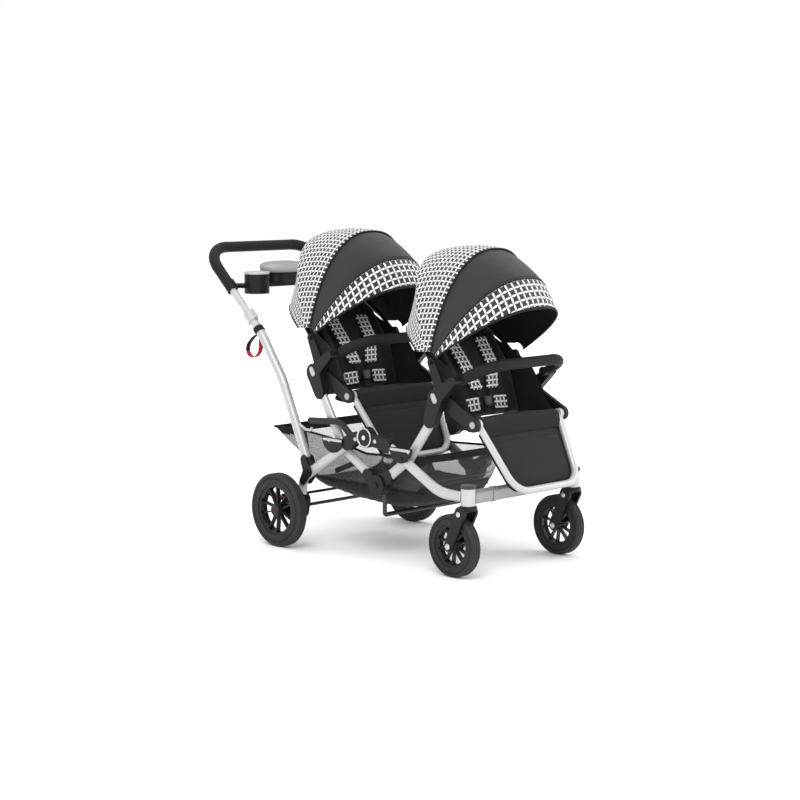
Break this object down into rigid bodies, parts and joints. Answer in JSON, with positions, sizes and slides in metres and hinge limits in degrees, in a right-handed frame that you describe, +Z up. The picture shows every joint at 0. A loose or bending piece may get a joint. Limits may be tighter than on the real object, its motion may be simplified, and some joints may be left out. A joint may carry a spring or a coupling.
{
  "type": "tandem double stroller",
  "caption": "Inline double stroller with forward-facing seats on a folding scissor frame, with canopies, bumper bars, parent tray, basket and swivelling front wheels.",
  "frame": {"origin": "on the floor under the middle of the whole stroller", "axes": "+Z up, -Y the way the stroller travels, +X the left-hand side as seen from the handle"},
  "size_m": [0.692, 1.4399, 1.0871],
  "materials": {
    "silver_tube": "fine silver-white powder coat",
    "black_plastic": "lightly grained moulding",
    "charcoal_plastic": "lightly grained moulding",
    "steel": "brushed",
    "dark_steel": "satin",
    "grip_foam": "soft foam skin",
    "tyre": "fine tread",
    "rim": "semi-gloss moulding",
    "red_plastic": "semi-gloss moulding",
    "grey_plastic": "satin moulding",
    "seat_fabric": "plain woven black cloth",
    "pattern_fabric": "black and white printed lattice",
    "charcoal_fabric": "plain woven charcoal cloth",
    "basket_fabric": "coated cloth with mesh panels"
  },
  "bodies": {
    "rear_frame": {"rear_legs": "silver_tube", "axle_brackets": "black_plastic", "rear_axle": "dark_steel", "top_hub_rear": "black_plastic", "frame_pins": "steel", "rear_cross_brackets": "black_plastic", "latch_rails": "charcoal_plastic", "basket": "basket_fabric", "basket_hoop": "dark_steel"},
    "brake": {"brake_pedal": "red_plastic"},
    "front_frame": {"front_legs": "silver_tube", "top_hub_front": "black_plastic", "front_cross_brackets": "black_plastic", "front_crossbar": "charcoal_plastic", "caster_stems": "silver_tube"},
    "left_caster": {"left_fork": "black_plastic"},
    "right_caster": {"right_fork": "black_plastic"},
    "left_front_wheel": {"left_front_tyre": "tyre", "left_front_rim": "rim"},
    "right_front_wheel": {"right_front_tyre": "tyre", "right_front_rim": "rim"},
    "left_rear_wheel": {"left_rear_tyre": "tyre", "left_rear_rim": "rim"},
    "right_rear_wheel": {"right_rear_tyre": "tyre", "right_rear_rim": "rim"},
    "handle": {"handle_pivots": "black_plastic", "handle_arms": "silver_tube"},
    "handle_top": {"handle_bar": "silver_tube", "handle_grip": "grip_foam", "tray": "black_plastic"},
    "tray_cover": {"tray_lid": "grey_plastic"},
    "rear_posts": {"rear_seat_posts": "silver_tube", "lower_hub_rear": "black_plastic", "strut_links": "black_plastic", "rear_seat_frame": "black_plastic", "rear_seat_pad": "seat_fabric"},
    "front_posts": {"front_seat_posts": "silver_tube", "lower_hub_front": "black_plastic", "front_seat_frame": "black_plastic", "front_seat_pad": "seat_fabric"},
    "rear_back": {"rear_back_frame": "black_plastic", "rear_back_pad": "seat_fabric", "rear_canopy_back": "pattern_fabric", "rear_harness": "pattern_fabric"},
    "rear_hood": {"rear_canopy_hood": "charcoal_fabric"},
    "rear_leg_rest": {"rear_leg_frame": "silver_tube", "rear_leg_panel": "charcoal_fabric"},
    "rear_bumper": {"rear_bumper_bar": "grip_foam"},
    "rear_left_release": {"rear_left_button": "grey_plastic"},
    "rear_right_release": {"rear_right_button": "grey_plastic"},
    "front_back": {"front_back_frame": "black_plastic", "front_back_pad": "seat_fabric", "front_canopy_back": "pattern_fabric", "front_harness": "pattern_fabric"},
    "front_hood": {"front_canopy_hood": "charcoal_fabric"},
    "front_leg_rest": {"front_leg_frame": "silver_tube", "front_leg_panel": "charcoal_fabric"},
    "front_bumper": {"front_bumper_bar": "grip_foam"},
    "front_left_release": {"front_left_button": "grey_plastic"},
    "front_right_release": {"front_right_button": "grey_plastic"}
  },
  "joints": [
    {"name": "left_rear_wheel_spin", "type": "hinge", "parent": "rear_frame", "child": "left_rear_wheel", "pos_m": [0.326, 0.2275, 0.127], "axis": [1, 0, 0], "continuous": true},
    {"name": "right_rear_wheel_spin", "type": "hinge", "parent": "rear_frame", "child": "right_rear_wheel", "pos_m": [-0.326, 0.2275, 0.127], "axis": [1, 0, 0], "continuous": true},
    {"name": "left_caster_swivel", "type": "hinge", "parent": "front_frame", "child": "left_caster", "pos_m": [0.255, -0.5965, 0.238], "axis": [0, 0, 1], "continuous": true},
    {"name": "left_front_wheel_spin", "type": "hinge", "parent": "left_caster", "child": "left_front_wheel", "pos_m": [0.255, -0.537, 0.1015], "axis": [1, 0, 0], "continuous": true},
    {"name": "right_caster_swivel", "type": "hinge", "parent": "front_frame", "child": "right_caster", "pos_m": [-0.255, -0.5965, 0.238], "axis": [0, 0, 1], "continuous": true},
    {"name": "right_front_wheel_spin", "type": "hinge", "parent": "right_caster", "child": "right_front_wheel", "pos_m": [-0.255, -0.537, 0.1015], "axis": [1, 0, 0], "continuous": true},
    {"name": "frame_fold", "type": "hinge", "parent": "rear_frame", "child": "front_frame", "pos_m": [0, -0.1385, 0.408], "axis": [1, 0, 0], "range_deg": [0, 12]},
    {"name": "rear_post_fold", "type": "hinge", "parent": "rear_frame", "child": "rear_posts", "pos_m": [0, -0.0005, 0.354], "axis": [1, 0, 0], "range_deg": [0, 10.16]},
    {"name": "front_post_fold", "type": "hinge", "parent": "front_frame", "child": "front_posts", "pos_m": [0, -0.3135, 0.354], "axis": [1, 0, 0], "range_deg": [-9.41, 0]},
    {"name": "handle_fold", "type": "hinge", "parent": "rear_frame", "child": "handle", "pos_m": [0, 0.1425, 0.262], "axis": [1, 0, 0], "range_deg": [0, 10]},
    {"name": "handle_height", "type": "slide", "parent": "handle", "child": "handle_top", "axis": [0, 0.7294, 0.684], "range_m": [0, 0.05]},
    {"name": "tray_lid_open", "type": "hinge", "parent": "handle_top", "child": "tray_cover", "pos_m": [0, 0.6005, 0.9193], "axis": [-1, 0, 0], "range_deg": [0, 80]},
    {"name": "brake_press", "type": "hinge", "parent": "rear_frame", "child": "brake", "pos_m": [0, 0.2755, 0.158], "axis": [-1, 0, 0], "range_deg": [0, 20]},
    {"name": "rear_recline", "type": "hinge", "parent": "rear_posts", "child": "rear_back", "pos_m": [0, 0.1405, 0.601], "axis": [-1, 0, 0], "range_deg": [0, 12]},
    {"name": "rear_canopy_fold", "type": "hinge", "parent": "rear_back", "child": "rear_hood", "pos_m": [0, 0.1945, 0.714], "axis": [-1, 0, 0], "range_deg": [0, 32]},
    {"name": "rear_leg_rest_raise", "type": "hinge", "parent": "rear_posts", "child": "rear_leg_rest", "pos_m": [0, -0.0045, 0.53], "axis": [-1, 0, 0], "range_deg": [0, 50]},
    {"name": "rear_bumper_swing", "type": "hinge", "parent": "rear_posts", "child": "rear_bumper", "pos_m": [0, 0.0635, 0.665], "axis": [1, 0, 0], "range_deg": [0, 35]},
    {"name": "rear_left_release_press", "type": "slide", "parent": "rear_posts", "child": "rear_left_release", "axis": [-1, 0, 0], "range_m": [0, 0.003], "stiffness_N_per_m": 400},
    {"name": "rear_right_release_press", "type": "slide", "parent": "rear_posts", "child": "rear_right_release", "axis": [1, 0, 0], "range_m": [0, 0.003], "stiffness_N_per_m": 400},
    {"name": "front_recline", "type": "hinge", "parent": "front_posts", "child": "front_back", "pos_m": [0, -0.4365, 0.559], "axis": [-1, 0, 0], "range_deg": [0, 12]},
    {"name": "front_canopy_fold", "type": "hinge", "parent": "front_back", "child": "front_hood", "pos_m": [0, -0.3825, 0.672], "axis": [-1, 0, 0], "range_deg": [0, 32]},
    {"name": "front_leg_rest_raise", "type": "hinge", "parent": "front_posts", "child": "front_leg_rest", "pos_m": [0, -0.5815, 0.488], "axis": [-1, 0, 0], "range_deg": [0, 50]},
    {"name": "front_bumper_swing", "type": "hinge", "parent": "front_posts", "child": "front_bumper", "pos_m": [0, -0.5135, 0.623], "axis": [1, 0, 0], "range_deg": [0, 35]},
    {"name": "front_left_release_press", "type": "slide", "parent": "front_posts", "child": "front_left_release", "axis": [-1, 0, 0], "range_m": [0, 0.003], "stiffness_N_per_m": 400},
    {"name": "front_right_release_press", "type": "slide", "parent": "front_posts", "child": "front_right_release", "axis": [1, 0, 0], "range_m": [0, 0.003], "stiffness_N_per_m": 400}
  ],
  "couplings": [
    {"joint": "rear_post_fold", "follows": "frame_fold", "ratio": 0.813},
    {"joint": "front_post_fold", "follows": "frame_fold", "ratio": -0.751},
    {"joint": "handle_fold", "follows": "frame_fold", "ratio": 0.8},
    {"joint": "rear_right_release_press", "follows": "rear_left_release_press", "ratio": 1},
    {"joint": "front_right_release_press", "follows": "front_left_release_press", "ratio": 1}
  ]
}
